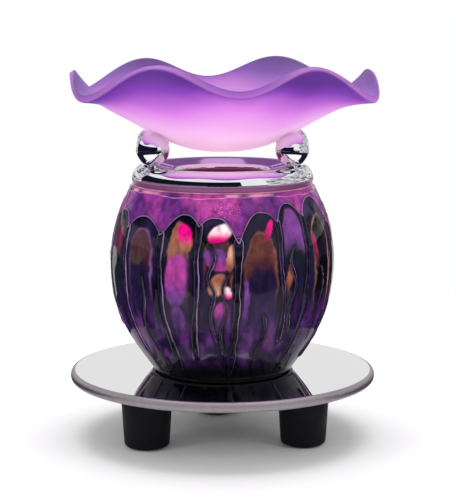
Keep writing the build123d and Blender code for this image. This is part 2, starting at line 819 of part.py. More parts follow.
# Lamp stem and what it carries
save("lamp_stem", lamp_stem())
save("stem_nut_lower", stem_nut(lower_nut_bottom))
save("stem_nut_upper", stem_nut(plate_top + rod_plate_thickness + washer_thickness))
save("stem_washers", group([stem_washer(lower_washer_bottom), stem_washer(plate_top + rod_plate_thickness)]))
save("shield_nut", stem_nut(shield_nut_bottom))
save("heat_shield", heat_shield())
save("holder_bracket", holder_bracket())
save("bracket_nut", at(lamp_angle) * stem_nut(bracket_nut_bottom))
save("lamp_holder", lamp_holder())
save("holder_contacts", group(holder_contact(side) for side in (-1, 1)))
save("holder_screws", group(holder_screw(side) for side in (-1, 1)))
save("lamp_lead_live", lamp_lead(1))
save("lamp_lead_neutral", lamp_lead(-1))

# Bulb
save("bulb_glass", at(lamp_angle) * bulb_glass())
save("bulb_filament", at(lamp_angle) * bulb_filament())
save("bulb_foils", group(at(lamp_angle) * bulb_foil(side) for side in (-1, 1)))
save("bulb_pins", group(at(lamp_angle) * bulb_pin(side) for side in (-1, 1)))

# Glass body, its frame and the collar
save("body_foot_gasket", ring(gasket_outer_radius, gasket_inner_radius, plate_top, body_bottom))
save("glass_body", glass_body())
collar_edge = shoulder_radius_at(collar_bottom)
save("body_top_gasket", ring(collar_edge, collar_edge - gasket_width, body_top, collar_bottom))
save("rod_plate", rod_plate())
save("tie_rods", group(at(angle, tie_rod_circle_radius) * tie_rod() for angle in rod_angles))
save("rod_nuts", group(at(angle, tie_rod_circle_radius) * rod_nut() for angle in rod_angles))
save("collar_ring", collar_ring())
for name, angle in post_angles.items():
    save("ball_post_" + name, at(angle, post_circle_radius) * ball_post())
save("post_nuts", group(at(angle, post_circle_radius) * post_nut() for angle in post_angles.values()))

# Dish
save("dish", dish())
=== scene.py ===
from math import asin, cos, pi, radians, sin
import bpy
import numpy as np
from mathutils import Matrix, Vector, kdtree, noise


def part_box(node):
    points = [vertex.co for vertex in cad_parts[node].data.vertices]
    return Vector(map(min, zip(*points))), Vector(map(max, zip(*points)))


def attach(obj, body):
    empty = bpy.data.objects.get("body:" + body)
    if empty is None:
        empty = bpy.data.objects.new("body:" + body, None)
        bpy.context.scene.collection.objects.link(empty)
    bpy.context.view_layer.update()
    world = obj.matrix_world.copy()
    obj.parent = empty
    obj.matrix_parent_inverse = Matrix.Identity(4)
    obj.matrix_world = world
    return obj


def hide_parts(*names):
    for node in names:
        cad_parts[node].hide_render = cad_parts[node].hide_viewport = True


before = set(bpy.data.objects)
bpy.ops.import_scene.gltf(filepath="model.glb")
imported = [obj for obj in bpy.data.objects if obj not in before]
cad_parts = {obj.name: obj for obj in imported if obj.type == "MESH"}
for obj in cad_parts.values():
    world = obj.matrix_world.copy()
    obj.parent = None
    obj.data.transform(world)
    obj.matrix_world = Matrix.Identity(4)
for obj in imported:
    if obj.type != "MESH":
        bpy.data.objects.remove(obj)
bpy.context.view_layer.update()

# Feet: three tapered feet of black moulded plastic with a fine satin skin, each held to the steel
# disc by a screw from below, and a rubber tread glued into the recess in its underside.

foot_black = (0.0035, 0.003, 0.005)
tread_black = (0.01, 0.01, 0.011)


def shader_of(finish):
    return finish.node_tree.nodes["Principled BSDF"]


def tune(finish, **inputs):
    """Sets values on the shader's own sockets, whose names have _ for a blank."""
    for name, value in inputs.items():
        shader_of(finish).inputs[name.replace("_", " ")].default_value = value


def new_finish(name, colour, roughness, metallic=0.0):
    """A finish of one plain colour, to which grain and marks can be added."""
    finish = bpy.data.materials.new(name)
    finish.use_nodes = True
    tune(finish, Base_Color=(*colour, 1.0), Roughness=roughness, Metallic=metallic)
    return finish


def fill(finish, socket, value):
    """Sets a socket to a value, or links it from another socket."""
    if isinstance(value, bpy.types.NodeSocket):
        finish.node_tree.links.new(value, socket)
    else:
        socket.default_value = value


def add_node(finish, kind, **inputs):
    """A node of a kind, which goes without ShaderNode, with its inputs filled. Those go by name, with
    _ for a blank, or by number, as i0."""
    node = finish.node_tree.nodes.new("ShaderNode" + kind)
    for name, value in inputs.items():
        numbered = name[0] == "i" and name[1:].isdigit()
        fill(finish, node.inputs[int(name[1:]) if numbered else name.replace("_", " ")], value)
    return node


def connect(finish, source, socket_name):
    finish.node_tree.links.new(source, shader_of(finish).inputs[socket_name])


def place_in(finish, stretch=(1, 1, 1)):
    """Coordinates in the object's own metres, stretched along its axes."""
    place = add_node(finish, "TexCoord")
    return add_node(finish, "Mapping", Vector=place.outputs["Object"], Scale=stretch).outputs[0]


def noise_in(finish, scale, detail=3.0, stretch=(1, 1, 1), distortion=0.0):
    texture = add_node(finish, "TexNoise", Vector=place_in(finish, stretch), Scale=scale,
                       Detail=detail, Distortion=distortion)
    return texture.outputs["Fac"]


def ramp_in(finish, value, stops):
    """A colour ramp over a value, with its stops given as place and colour."""
    ramp = add_node(finish, "ValToRGB", Fac=value)
    while len(ramp.color_ramp.elements) < len(stops):
        ramp.color_ramp.elements.new(0.5)
    for element, (place, colour) in zip(ramp.color_ramp.elements, stops):
        element.position = place
        element.color = (*colour, 1.0)
    return ramp.outputs["Color"]


def range_in(finish, value, low, high, to_low, to_high):
    """A value carried from one range to another and held at its ends."""
    span = add_node(finish, "MapRange", Value=value, From_Min=low, From_Max=high,
                    To_Min=to_low, To_Max=to_high)
    return span.outputs[0]


def spread_in(finish, low, high, *texture):
    """Noise spread between two values."""
    return range_in(finish, noise_in(finish, *texture), 0.3, 0.7, low, high)


def shade(colour, share):
    return tuple(channel * share for channel in colour)


def patches_in(finish, colour, scale, low, high):
    """A colour that wanders between a darker and a lighter share of itself."""
    stops = [(0.3, shade(colour, low)), (0.7, shade(colour, high))]
    return ramp_in(finish, noise_in(finish, scale, 4), stops)


def bump(finish, pattern, height, strength=1.0):
    """Raises and sinks the skin of a finish by a pattern."""
    raised = add_node(finish, "Bump", Height=pattern, Distance=height, Strength=strength)
    connect(finish, raised.outputs[0], "Normal")


def grain(finish, scale, height, rough_low, rough_high, stretch=(1, 1, 1)):
    """A fine skin of small bumps, with a roughness that wanders over larger patches."""
    bump(finish, noise_in(finish, scale, 4, stretch), height)
    patches = spread_in(finish, rough_low, rough_high, scale * 0.07, 3.0, stretch)
    connect(finish, patches, "Roughness")


def worked_finish(name, colour, roughness, patches, skin, metallic=0.0, stretch=(1, 1, 1)):
    """A finish with patches, given by scale and darkest and lightest share of the colour, and a skin,
    given by scale, height in metres and lowest and highest roughness."""
    finish = new_finish(name, colour, roughness, metallic)
    connect(finish, patches_in(finish, colour, *patches), "Base Color")
    grain(finish, *skin, stretch)
    return finish


def dress(finish, *nodes):
    for node in nodes:
        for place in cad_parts[node].material_slots:
            place.material = finish


foot_plastic = worked_finish(
    "foot_satin_plastic", foot_black, 0.42,
    patches=(60, 0.75, 1.3), skin=(2600, 0.00004, 0.44, 0.6))
tune(foot_plastic, Specular_IOR_Level=0.12)
dress(foot_plastic, "foot_front_left", "foot_front_right", "foot_rear")

tread_rubber = worked_finish(
    "tread_rubber", tread_black, 0.85,
    patches=(90, 0.8, 1.5), skin=(1500, 0.00006, 0.78, 0.95))
tune(tread_rubber, Specular_IOR_Level=0.2)
dress(tread_rubber, "foot_treads")

# Base disc: zinc-plated steel that the feet and the housing hang on, with a thin foam pad on top
# so that the glass plate doesn't lie on bare metal. The foot screws are plated too.

zinc_grey = (0.62, 0.62, 0.6)
foam_grey = (0.07, 0.07, 0.075)

zinc_steel = worked_finish(
    "zinc_plated_steel", zinc_grey, 0.32,
    patches=(220, 0.86, 1.08), skin=(900, 0.00001, 0.24, 0.42), metallic=1.0, stretch=(1, 1, 4))
dress(zinc_steel, "base_disc", "foot_screws")

pad_foam = worked_finish(
    "pad_foam", foam_grey, 0.9,
    patches=(500, 0.7, 1.3), skin=(2200, 0.00012, 0.85, 0.98))
dress(pad_foam, "plate_pad")

# Control housing: a black moulded cup under the disc with a snap-tight cover and three screws. It
# holds the dimmer board, which the touch lead wakes, and the clamp and bush for the mains cord.

housing_black = (0.014, 0.014, 0.015)
mask_green = (0.012, 0.085, 0.035)
copper_trace = (0.03, 0.17, 0.06)
case_yellow = (0.62, 0.33, 0.03)
terminal_green = (0.05, 0.25, 0.09)
epoxy_black = (0.012, 0.012, 0.013)

housing_plastic = worked_finish(
    "housing_spark_plastic", housing_black, 0.5,
    patches=(80, 0.8, 1.3), skin=(1800, 0.00007, 0.44, 0.62))
dress(housing_plastic, "control_housing", "housing_cover", "cord_clamp")
dress(zinc_steel, "housing_screws", "clamp_screws")
dress(tread_rubber, "cord_grommet")

board_mask = new_finish("board_solder_mask", mask_green, 0.3)
traces = add_node(board_mask, "TexBrick", Vector=place_in(board_mask), Scale=220.0,
                  Mortar_Size=0.03, Color1=(*mask_green, 1.0), Color2=(*shade(mask_green, 0.85), 1.0),
                  Mortar=(*copper_trace, 1.0))
traces.offset = 0.37
connect(board_mask, traces.outputs["Color"], "Base Color")
dress(board_mask, "control_board")

moulded_epoxy = worked_finish(
    "moulded_epoxy", epoxy_black, 0.45,
    patches=(400, 0.7, 1.4), skin=(3000, 0.00003, 0.38, 0.55))
dress(moulded_epoxy, "board_triac", "touch_chip")

capacitor_case = worked_finish(
    "capacitor_case", case_yellow, 0.28,
    patches=(300, 0.9, 1.06), skin=(1200, 0.00002, 0.22, 0.34))
dress(capacitor_case, "board_capacitors")

terminal_body = worked_finish(
    "terminal_body", terminal_green, 0.4,
    patches=(300, 0.88, 1.08), skin=(1800, 0.00003, 0.34, 0.46))
dress(terminal_body, "terminal_block")

# Mirror plate: 5 mm float glass, silvered on its upper face, with a ground and rounded edge that
# is left satin, grey with a mauve tint of painted lamp glow. It lies on the pad and is clamped
# between the disc and the rod plate.

silver = (0.68, 0.675, 0.69)
# The edge's colour: satin grey with a mauve tint that is painted glow of the lamp
edge_mauve_glow = (0.33, 0.295, 0.315)
back_paint = (0.33, 0.33, 0.34)
plate_low, plate_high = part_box("mirror_plate")
plate_radius = plate_high.x
# From the plate's outline inwards, where the satin edge ends and where it is full
satin_end, satin_full = 0.0023, 0.0019
# From the underside upwards, where the back paint is full and where it ends
paint_full, paint_end = 0.0002, 0.0004


def axes_in(finish):
    """The object's own X, Y and Z in metres."""
    return add_node(finish, "SeparateXYZ", Vector=place_in(finish)).outputs


def reach_in(finish, spot):
    """How far a spot is from the origin."""
    reach = add_node(finish, "VectorMath", i0=spot)
    reach.operation = "LENGTH"
    return reach.outputs["Value"]


def mix_in(finish, share, first, second, blend="MIX"):
    """Two colours mixed by a share."""
    mix = finish.node_tree.nodes.new("ShaderNodeMix")
    mix.data_type = "RGBA"
    mix.blend_type = blend
    fill(finish, mix.inputs[0], share)
    for socket, colour in ((mix.inputs[6], first), (mix.inputs[7], second)):
        fill(finish, socket, (*colour, 1.0) if isinstance(colour, tuple) else colour)
    return mix.outputs[2]


mirror = new_finish("mirror_glass", silver, 0.03, 1.0)
x, y, z = axes_in(mirror)
flat = add_node(mirror, "CombineXYZ", X=x, Y=y)
reach = reach_in(mirror, flat.outputs[0])
on_edge = range_in(mirror, reach, plate_radius - satin_end, plate_radius - satin_full, 0, 1)
on_back = range_in(mirror, z, plate_low.z + paint_full, plate_low.z + paint_end, 1, 0)
top_colour = mix_in(mirror, noise_in(mirror, 24), shade(silver, 0.97), silver)
grinding = noise_in(mirror, 300, 4)
ground = mix_in(mirror, grinding, shade(edge_mauve_glow, 0.85), shade(edge_mauve_glow, 1.15))
with_edge = mix_in(mirror, on_edge, top_colour, ground)
connect(mirror, mix_in(mirror, on_back, with_edge, back_paint), "Base Color")
connect(mirror, range_in(mirror, on_edge, 0, 1, 0.025, 0.45), "Roughness")
dress(mirror, "mirror_plate")

# Lamp stem: a threaded brass tube through the plate that clamps housing, disc, plate and rod plate
# together, and carries the heat shield, the bent bracket and the ceramic holder with its leads.

brass_yellow = (0.7, 0.5, 0.2)
shield_silver = (0.72, 0.72, 0.73)
steatite = (0.8, 0.78, 0.72)
live_brown = (0.13, 0.055, 0.02)
neutral_blue = (0.03, 0.1, 0.38)

brass = worked_finish(
    "turned_brass", brass_yellow, 0.28,
    patches=(160, 0.82, 1.08), skin=(700, 0.00002, 0.2, 0.38), metallic=1.0, stretch=(1, 1, 6))
dress(brass, "lamp_stem", "stem_nut_lower", "stem_nut_upper", "shield_nut", "bracket_nut")
dress(brass, "holder_contacts", "touch_lead")

shield_steel = worked_finish(
    "bright_shield_steel", shield_silver, 0.2,
    patches=(120, 0.92, 1.04), skin=(500, 0.00002, 0.14, 0.28), metallic=1.0)
dress(shield_steel, "heat_shield")
dress(zinc_steel, "stem_washers", "holder_bracket", "holder_screws")

holder_ceramic = worked_finish(
    "holder_steatite", steatite, 0.6,
    patches=(240, 0.92, 1.05), skin=(1400, 0.00005, 0.5, 0.72))
dress(holder_ceramic, "lamp_holder")

for name, colour, lead in (("live_sleeve", live_brown, "lamp_lead_live"),
                           ("neutral_sleeve", neutral_blue, "lamp_lead_neutral")):
    sleeve = worked_finish(name, colour, 0.55, patches=(700, 0.8, 1.15),
                           skin=(2400, 0.00005, 0.48, 0.62), stretch=(1, 1, 3))
    dress(sleeve, lead)

# Bulb: a clear quartz capsule with a flat pinch. A tungsten coil stands between two legs on thin
# molybdenum foils, and two pins plug the bulb into the holder.

tungsten = (0.3, 0.29, 0.28)
quartz = (0.97, 0.98, 0.985)
coil_low, coil_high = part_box("bulb_filament")
bulb_turn = radians(153.5)
coil_turns = 13
coil_turn_steps = 16
coil_radius = 0.00055
coil_half_length = 0.0031
coil_level = coil_high.z - 0.0007
coil_wire = 0.00014
scene = bpy.context.scene

quartz_glass = new_finish("bulb_quartz", quartz, 0.02)
tune(quartz_glass, Transmission_Weight=1.0, IOR=1.46)
bump(quartz_glass, noise_in(quartz_glass, 180, 2), 0.0001, 0.6)
dress(quartz_glass, "bulb_glass")

coil_metal = new_finish("drawn_tungsten", tungsten, 0.35, 1.0)
connect(coil_metal, patches_in(coil_metal, tungsten, 900, 0.8, 1.15), "Base Color")
dress(coil_metal, "bulb_foils")
dress(zinc_steel, "bulb_pins")


def put(name, data):
    """An object in the scene with the given mesh, curve, lamp or camera."""
    made = bpy.data.objects.new(name, data)
    scene.collection.objects.link(made)
    return made


def coiled_filament():
    """A helix between its two legs, as one wire."""
    route = [(0, -coil_half_length, coil_low.z)]
    steps = coil_turns * coil_turn_steps
    for step in range(steps + 1):
        turn = 2 * pi * step / coil_turn_steps
        along = -coil_half_length + 2 * coil_half_length * step / steps
        route.append((coil_radius * sin(turn), along, coil_level - coil_radius * cos(turn)))
    route.append((0, coil_half_length, coil_low.z))
    curve = bpy.data.curves.new("bulb_coil", "CURVE")
    curve.dimensions = "3D"
    curve.bevel_depth = coil_wire
    curve.bevel_resolution = 2
    line = curve.splines.new("POLY")
    line.points.add(len(route) - 1)
    for point, spot in zip(line.points, route):
        point.co = (*spot, 1.0)
    coil = put("bulb_coil", curve)
    coil.matrix_world = Matrix.Rotation(bulb_turn, 4, "Z")
    return coil


coil = coiled_filament()
coil.data.materials.append(coil_metal)
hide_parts("bulb_filament")
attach(coil, "bulb")

# Glass body: hand-blown dark glass in a barrel shape. Dark runs of hot glass are trailed over it
# from a scalloped upper edge and stand proud of it, and the enamel above them is magenta.

body_low, body_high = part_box("glass_body")
body_height = body_high.z - body_low.z
body_radius = 0.0542
body_wall = 0.0032
height_shares = (0.0, 0.172, 0.3725, 0.54, 0.738, 0.869, 1.0)
radius_shares = (0.631, 0.823, 0.961, 1.0, 0.978, 0.917, 0.8265)
around_count = 520
up_count = 165
rim_round = 0.0011
rim_rows = 4
inner_rows = 10
# Heights of the coat and of the glass's own waver, and of the beads as shares of their half widths
coat_height = 0.0004
blown_waver = 0.00025
edge_waver = 0.0005
# Half width of the edge's bead on a scallop's crown and what it gains towards a point
edge_half_width, edge_gain = 0.00032, 0.0004
# How far above its point a run begins, and the height over which all relief dies out at the rims
run_overlap = 0.0005
calm_reach = 0.002
edge_bead_share = 0.8
run_bead_share = 0.75
run_points = 400
thread_points = 300

# How square a scallop's crown is, and the height below which a run thins out at the foot instead of
# ending in a rounded drop
crown_squareness = 2.4
foot_reach = 0.038

# Scallops: the angle where each ends, the heights of its crown and of the point after it, and its
# lean
scallops = (
    (212, 0.115, 0.1075, 0.1), (237, 0.1142, 0.106, -0.15), (258, 0.1158, 0.1105, 0.2),
    (278, 0.115, 0.1035, -0.1), (300, 0.1172, 0.112, 0.15), (318, 0.12, 0.1135, -0.1),
    (344, 0.1222, 0.108, 0), (367, 0.1165, 0.109, 0.2), (389, 0.1185, 0.105, -0.2),
    (412, 0.114, 0.1085, 0.1), (436, 0.1195, 0.111, 0), (457, 0.116, 0.104, -0.15),
    (481, 0.115, 0.1095, 0.2), (503, 0.121, 0.108, 0), (527, 0.1165, 0.106, -0.1),
    (550, 0.1185, 0.1105, 0.15),
)
# Runs, one from the point after each scallop: how many degrees its foot has moved, the height of its
# end, its half width and how much it wanders
runs = (
    (3, 0.036, 0.001, 1.4), (4, 0.037, 0.0012, 1.8), (-4, 0.047, 0.0011, 1.6), (-3, 0.036, 0.0014, 1.2),
    (3, 0.055, 0.0009, 1.8), (-5, 0.037, 0.0011, 1.6), (-4, 0.042, 0.001, 1.2), (3, 0.036, 0.0009, 1.4),
    (-4, 0.052, 0.001, 1.5), (4, 0.036, 0.0011, 1.2), (-3, 0.044, 0.0008, 1.6), (2, 0.036, 0.001, 1.2),
    (-4, 0.05, 0.0009, 1.5), (3, 0.037, 0.0011, 1.2), (-2, 0.036, 0.0009, 1.4), (3, 0.058, 0.0008, 1.5),
)
# Threads: thinner trails between the runs, each by the angles and heights it passes and its half
# width
threads = (
    (((226, 0.087), (227, 0.074), (224, 0.062), (227, 0.05), (226, 0.04)), 0.0005),
    (((262, 0.104), (266, 0.0965), (263, 0.088), (266, 0.08), (264, 0.07), (267, 0.056)), 0.0006),
    (((274, 0.09), (270, 0.082), (272, 0.072), (269, 0.061), (272, 0.047)), 0.0005),
    (((291, 0.07), (293, 0.06), (290, 0.049), (292, 0.039)), 0.0006),
    (((309, 0.101), (306, 0.093), (309, 0.083), (306, 0.072), (308, 0.06)), 0.0006),
    (((329, 0.09), (331, 0.079), (328, 0.066), (330, 0.052)), 0.0006),
    (((14, 0.098), (17, 0.086), (13, 0.074), (16, 0.06)), 0.0006),
    (((58, 0.094), (61, 0.08), (57, 0.069), (60, 0.052)), 0.0006),
    (((106, 0.1), (103, 0.089), (107, 0.076), (104, 0.059)), 0.0006),
    (((152, 0.093), (155, 0.081), (151, 0.07), (154, 0.054)), 0.0006),
    (((181, 0.095), (178, 0.083), (182, 0.072), (179, 0.056)), 0.0006),
)


def smooth_line(places, values, wanted):
    """A smooth curve through given points, by natural cubic splines."""
    places, values = np.array(places), np.array(values, float)
    gaps = np.diff(places)
    inner = np.arange(1, len(gaps))
    system = np.diag(np.concatenate([[1.0], 2.0 * (gaps[:-1] + gaps[1:]), [1.0]]))
    system[inner, inner - 1] = gaps[:-1]
    system[inner, inner + 1] = gaps[1:]
    right = np.concatenate([[0.0], 6 * np.diff(np.diff(values) / gaps), [0.0]])
    bend = np.linalg.solve(system, right)
    span = np.clip(np.searchsorted(places, wanted) - 1, 0, len(gaps) - 1)
    a = (places[span + 1] - wanted) / gaps[span]
    b = 1 - a
    lift = ((a ** 3 - a) * bend[span] + (b ** 3 - b) * bend[span + 1]) * gaps[span] ** 2 / 6
    return a * values[span] + b * values[span + 1] + lift


def body_radius_at(level):
    share = (np.asarray(level) - body_low.z) / body_height
    return body_radius * smooth_line(height_shares, radius_shares, share)


def ease(value, low, high):
    """A smooth step from 0 at low to 1 at high, which may lie below low."""
    share = np.clip((value - low) / (high - low), 0, 1)
    return share * share * (3 - 2 * share)


def wander(values, seed, waves=5):
    """A smooth line that wanders round zero, repeatable by its seed."""
    chance = np.random.default_rng(seed)
    total = np.zeros_like(values)
    for wave in range(1, waves + 1):
        total += chance.normal() / wave * np.sin(wave * values + chance.uniform(0, 2 * pi))
    return total / 1.5


def cloud(points, size, stretch=(1, 1, 1), offset=0.0):
    """Soft noise at each point, about -1 to 1, in patches of a size in metres."""
    spots = points / size / np.array(stretch) + offset
    return np.array([noise.fractal(Vector(spot), 1.0, 2.0, 4) for spot in spots])


def scallop_at(angle):
    """For each angle: its scallop's number, its place across it from -1 to 1, the edge's height."""
    ends, crowns, points, leans = (np.array(column, float) for column in zip(*scallops))
    angle = (angle - ends[0]) % 360 + ends[0]
    number = np.clip(np.searchsorted(ends, angle, side="right") - 1, 0, len(ends) - 1)
    following = np.append(ends[1:], ends[0] + 360)
    across = 2 * (angle - ends[number]) / (following[number] - ends[number]) - 1
    number = (number + 1) % len(ends)
    side = np.where(across < 0, points[number - 1], points[number])
    place = across - leans[number] * (1 - across ** 2)
    edge = crowns[number] - (crowns[number] - side) * np.abs(place) ** crown_squareness
    return number, across, edge + edge_waver * wander(np.radians(angle) * 6, 52, 6)


def on_body(angles, levels):
    radii = body_radius_at(levels)
    turn = np.radians(angles)
    return np.stack([radii * np.cos(turn), radii * np.sin(turn), levels], 1)


def edge_line():
    """Points along the scalloped edge, with its half width."""
    angles = np.arange(0, 360, 0.2)
    _, across, edge = scallop_at(angles)
    return on_body(angles, edge), edge_half_width + edge_gain * np.abs(across) ** 4


def run_lines():
    """Points along every run and thread, with their half widths."""
    places, widths = [], []
    for number, (drift, end, width, waver) in enumerate(runs):
        start, _, point, _ = scallops[number]
        level = np.linspace(point + run_overlap, end, run_points)
        fall = (level[0] - level) / (level[0] - end)
        strayed = waver * wander(fall * 7, 20 + number) * fall * (1.2 - fall)
        angle = start + drift * fall ** 1.4 + strayed
        thick = width * (1.3 - 0.45 * ease(fall, 0, 0.3) + 0.3 * ease(fall, 0.55, 0.9))
        thick = thick * (1 + 0.22 * wander(fall * 16, 60 + number))
        if end > foot_reach:
            thick = thick * np.sqrt(np.clip((1 - fall) / 0.03, 0.02, 1))
        else:
            thick = thick * (1 - 0.5 * ease(fall, 0.8, 1))
        places.append(on_body(angle, level))
        widths.append(thick)
    for line, width in threads:
        wanted = np.linspace(0, len(line) - 1, thread_points)
        angles, levels = zip(*line)
        angle = smooth_line(range(len(line)), angles, wanted)
        level = smooth_line(range(len(line)), levels, wanted)
        ends = np.sqrt(np.clip(np.minimum(wanted, wanted[::-1]) / 0.25, 0.03, 1))
        places.append(on_body(angle, level))
        widths.append(width * ends * (1 + 0.25 * wander(wanted * 3, angles[0])))
    return np.concatenate(places), np.concatenate(widths)


def nearest_line(points, spots, widths, count):
    """For each point: how far it is outside the nearest line, that line's half width, and how far
    it is to the line's right."""
    tree = kdtree.KDTree(len(spots))
    for number, spot in enumerate(spots):
        tree.insert(spot, number)
    tree.balance()
    gap = np.empty(len(points))
    nearest = np.empty(len(points), int)
    for row, point in enumerate(points):
        found = tree.find_n(point, count)
        gap[row], nearest[row] = min((distance - widths[number], number) for _, number, distance in found)
    away = points - spots[nearest]
    turn = np.arctan2(points[:, 1], points[:, 0])
    return gap, widths[nearest], away[:, 1] * np.cos(turn) - away[:, 0] * np.sin(turn)


ink = (0.003, 0.003, 0.0055)
navy = (0.014, 0.009, 0.036)
plum = (0.12, 0.026, 0.19)
orchid = (0.4, 0.05, 0.29)
lilac = (0.3, 0.11, 0.36)
violet = (0.15, 0.04, 0.24)
hot_pink = (0.86, 0.004, 0.235)
copper = (0.3, 0.11, 0.065)
peach = (0.76, 0.38, 0.25)
blush = (1.0, 0.8, 0.83)
olive = (0.052, 0.034, 0.024)
umber = (0.062, 0.017, 0.026)
bottle = (0.006, 0.015, 0.014)
crimson = (0.26, 0.01, 0.07)
rust = (0.11, 0.03, 0.025)
heather = (0.19, 0.05, 0.27)
bright_orchid = (0.45, 0.06, 0.33)
indigo = (0.045, 0.026, 0.095)
wine = (0.16, 0.06, 0.15)

# Windows: in each scallop, the lighter arch where the dark coat is thin, its colours and its outline
# partly the glass's own and partly painted reflection: its width and its drop below the edge, its
# height, and its colours at the outline, at the top and low down
windows_and_reflections = (
    (0.6, 0.005, 0.03, umber, umber, bottle),
    (0.62, 0.0055, 0.036, lilac, umber, navy),
    (0.5, 0.004, 0.034, plum, copper, olive),
    (0.66, 0.0065, 0.03, copper, umber, navy),
    (0.8, 0.009, 0.04, copper, rust, navy),
    (0.7, 0.003, 0.02, lilac, heather, bottle),
    (0.6, 0.009, 0.05, peach, ink, ink),
    (0.66, 0.005, 0.024, copper, umber, ink),
    (0.5, 0.0065, 0.044, lilac, olive, navy),
    (0.68, 0.012, 0.038, peach, umber, navy),
    (0.62, 0.0035, 0.022, lilac, heather, bottle),
    (0.52, 0.009, 0.052, copper, olive, ink),
    (0.64, 0.006, 0.026, lilac, umber, navy),
    (0.56, 0.01, 0.046, peach, olive, navy),
    (0.68, 0.004, 0.02, violet, orchid, bottle),
    (0.54, 0.0075, 0.042, copper, umber, ink),
)
# Chips of bright glass melted in under the coat, their colours partly the glass's own and partly
# painted glow of the lamp shining through, with a painted highlight in the blush ones: angle,
# height, half width, half height, lean, and the colours of its upper and its lower part
chips_and_glow = (
    (246.5, 0.086, 0.0052, 0.012, -0.05, orchid, violet),
    (247, 0.064, 0.003, 0.01, 0.1, violet, plum),
    (251, 0.1055, 0.0034, 0.0062, 0.15, hot_pink, copper),
    (269.2, 0.1083, 0.005, 0.0042, -0.55, blush, hot_pink),
    (267, 0.0965, 0.005, 0.0052, 0.3, violet, orchid),
    (274.3, 0.0975, 0.002, 0.0058, -0.1, peach, copper),
    (267.5, 0.085, 0.004, 0.0052, -0.2, copper, peach),
    (272, 0.081, 0.0022, 0.003, 0.1, blush, hot_pink),
    (270, 0.07, 0.0036, 0.007, 0.1, orchid, violet),
    (294, 0.1085, 0.0016, 0.005, -0.35, hot_pink, crimson),
    (281.5, 0.076, 0.0012, 0.011, 0, violet, plum),
    (304, 0.085, 0.0018, 0.008, -0.2, copper, umber),
    (205, 0.1, 0.0016, 0.008, 0, crimson, umber),
    (222, 0.0985, 0.005, 0.007, 0, umber, olive),
    (258, 0.056, 0.006, 0.007, 0.1, plum, violet),
    (285, 0.05, 0.007, 0.006, 0, plum, navy),
    (353, 0.104, 0.0026, 0.0055, 0.2, hot_pink, crimson),
    (1, 0.076, 0.0052, 0.015, 0.05, orchid, violet),
    (19, 0.096, 0.0038, 0.0028, 0.4, blush, peach),
    (16, 0.086, 0.003, 0.006, -0.15, copper, violet),
    (42, 0.064, 0.0044, 0.011, -0.1, violet, plum),
    (66, 0.106, 0.004, 0.004, -0.2, crimson, copper),
    (90, 0.098, 0.005, 0.009, 0.1, hot_pink, copper),
    (95, 0.069, 0.0036, 0.012, 0.05, orchid, violet),
    (111, 0.09, 0.0024, 0.007, -0.2, blush, peach),
    (117, 0.078, 0.004, 0.005, 0.2, copper, crimson),
    (138, 0.07, 0.0052, 0.016, 0, orchid, plum),
    (157, 0.104, 0.0022, 0.0045, -0.35, hot_pink, crimson),
    (163, 0.06, 0.006, 0.008, 0, violet, plum),
    (184, 0.082, 0.0044, 0.014, -0.05, orchid, violet),
    (325, 0.098, 0.002, 0.008, 0.1, crimson, umber),
)


def blend(share, first, second):
    share = share[:, None]
    return np.asarray(first) * (1 - share) + np.asarray(second) * share


